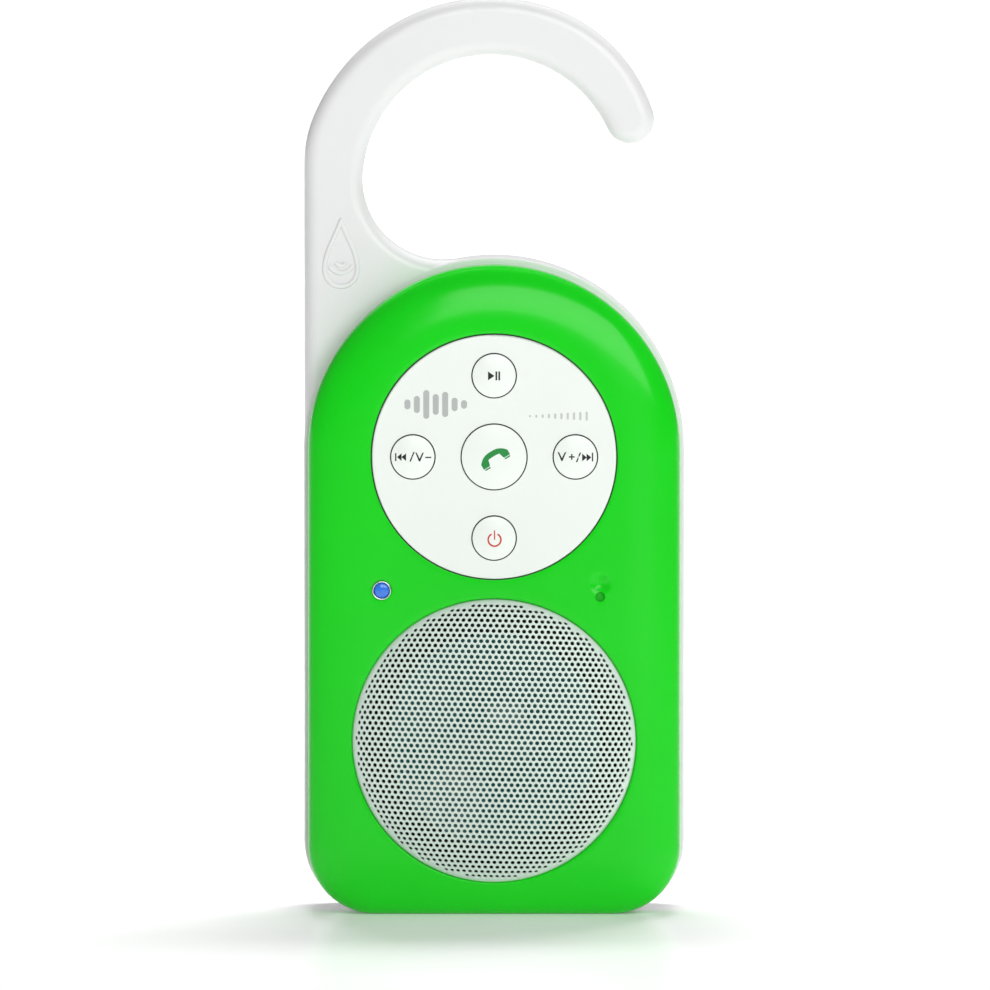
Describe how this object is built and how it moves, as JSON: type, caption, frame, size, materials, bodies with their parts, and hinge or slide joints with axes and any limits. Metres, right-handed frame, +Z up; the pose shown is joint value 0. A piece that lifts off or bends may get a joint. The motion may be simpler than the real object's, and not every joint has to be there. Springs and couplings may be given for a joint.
{
  "type": "shower speaker",
  "caption": "Water-proof speaker with a hanging hook, round perforated grille, push-button control panel and a flap over its charging port",
  "frame": {"origin": "centre of the flat base, half way through the depth", "axes": "+Z up through the hook, -Y is the front with the grille and the buttons, +X is the user's right"},
  "size_m": [0.085, 0.044, 0.2044],
  "materials": {
    "green_plastic": "glossy moulded",
    "white_plastic": "satin gloss moulded",
    "panel_plastic": "satin moulded",
    "button_plastic": "satin moulded with printed symbols",
    "grille_paint": "white paint on perforated steel",
    "silicone": "matte silicone",
    "seal_rubber": "matte rubber",
    "plug_rubber": "soft matte rubber",
    "screw_steel": "zinc plated",
    "switch_plastic": "moulded",
    "circuit_board": "solder mask",
    "chip_plastic": "moulded",
    "shield_tin": "tin plated",
    "can_aluminium": "drawn",
    "socket_plastic": "moulded nylon",
    "light_plastic": "clear tinted, polished",
    "bezel_chrome": "polished",
    "battery_wrap": "shrink wrap",
    "pad_foam": "foam",
    "basket_steel": "black coating on steel",
    "magnet_ferrite": "ground ferrite",
    "cone_plastic": "glossy film",
    "coil_copper": "varnished wire",
    "spider_cloth": "resin-treated cloth",
    "lead_rubber": "soft jacket"
  },
  "bodies": {
    "case": {"amplifier_chip": "chip_plastic", "battery": "battery_wrap", "battery_leads": "lead_rubber", "battery_pad": "pad_foam", "battery_socket": "socket_plastic", "board_screws": "screw_steel", "capacitors": "can_aluminium", "case_screws": "screw_steel", "case_seal": "seal_rubber", "charger_chip": "chip_plastic", "charging_socket": "shield_tin", "control_panel": "panel_plastic", "cover_seal": "seal_rubber", "door_pin": "screw_steel", "driver_frame": "basket_steel", "driver_magnet": "magnet_ferrite", "driver_screws": "screw_steel", "driver_seal": "seal_rubber", "driver_spider": "spider_cloth", "driver_surround": "seal_rubber", "driver_terminals": "coil_copper", "driver_top_plate": "basket_steel", "driver_yoke": "basket_steel", "front_cover": "green_plastic", "hook_frame": "white_plastic", "keypad": "silicone", "light_bezel": "bezel_chrome", "light_guide": "light_plastic", "main_board": "circuit_board", "microphone": "can_aluminium", "microphone_boot": "silicone", "port_board": "circuit_board", "port_lead_socket": "socket_plastic", "port_leads": "lead_rubber", "radio_module": "shield_tin", "rear_shell": "white_plastic", "screw_plugs": "plug_rubber", "socket_tongue": "chip_plastic", "speaker_grille": "grille_paint", "speaker_leads": "lead_rubber", "speaker_socket": "socket_plastic", "status_led": "light_plastic", "switch_cases": "switch_plastic", "terminal_board": "circuit_board"},
    "play_key": {"button_play": "button_plastic", "switch_stem_play": "switch_plastic"},
    "power_key": {"button_power": "button_plastic", "switch_stem_power": "switch_plastic"},
    "back_key": {"button_back": "button_plastic", "switch_stem_back": "switch_plastic"},
    "next_key": {"button_next": "button_plastic", "switch_stem_next": "switch_plastic"},
    "call_key": {"button_call": "button_plastic", "switch_stem_call": "switch_plastic"},
    "cone": {"driver_cone": "cone_plastic", "driver_dust_cap": "cone_plastic", "voice_coil": "coil_copper"},
    "port_flap": {"port_door": "plug_rubber"}
  },
  "joints": [
    {"name": "play_press", "type": "slide", "parent": "case", "child": "play_key", "axis": [0, 1, 0], "range_m": [0, 0.0005], "stiffness_N_per_m": 2500, "springref_m": -0.0002, "deforming": ["keypad"]},
    {"name": "power_press", "type": "slide", "parent": "case", "child": "power_key", "axis": [0, 1, 0], "range_m": [0, 0.0005], "stiffness_N_per_m": 2500, "springref_m": -0.0002, "deforming": ["keypad"]},
    {"name": "back_press", "type": "slide", "parent": "case", "child": "back_key", "axis": [0, 1, 0], "range_m": [0, 0.0005], "stiffness_N_per_m": 2500, "springref_m": -0.0002, "deforming": ["keypad"]},
    {"name": "next_press", "type": "slide", "parent": "case", "child": "next_key", "axis": [0, 1, 0], "range_m": [0, 0.0005], "stiffness_N_per_m": 2500, "springref_m": -0.0002, "deforming": ["keypad"]},
    {"name": "call_press", "type": "slide", "parent": "case", "child": "call_key", "axis": [0, 1, 0], "range_m": [0, 0.0005], "stiffness_N_per_m": 2500, "springref_m": -0.0002, "deforming": ["keypad"]},
    {"name": "cone_travel", "type": "slide", "parent": "case", "child": "cone", "axis": [0, 1, 0], "range_m": [-0.001, 0.001], "stiffness_N_per_m": 1800, "deforming": ["driver_surround", "driver_spider"]},
    {"name": "port_flap_swing", "type": "hinge", "parent": "case", "child": "port_flap", "pos_m": [-0.0417, 0.0089, 0.0596], "axis": [0, 1, 0], "range_deg": [0, 100]}
  ]
}
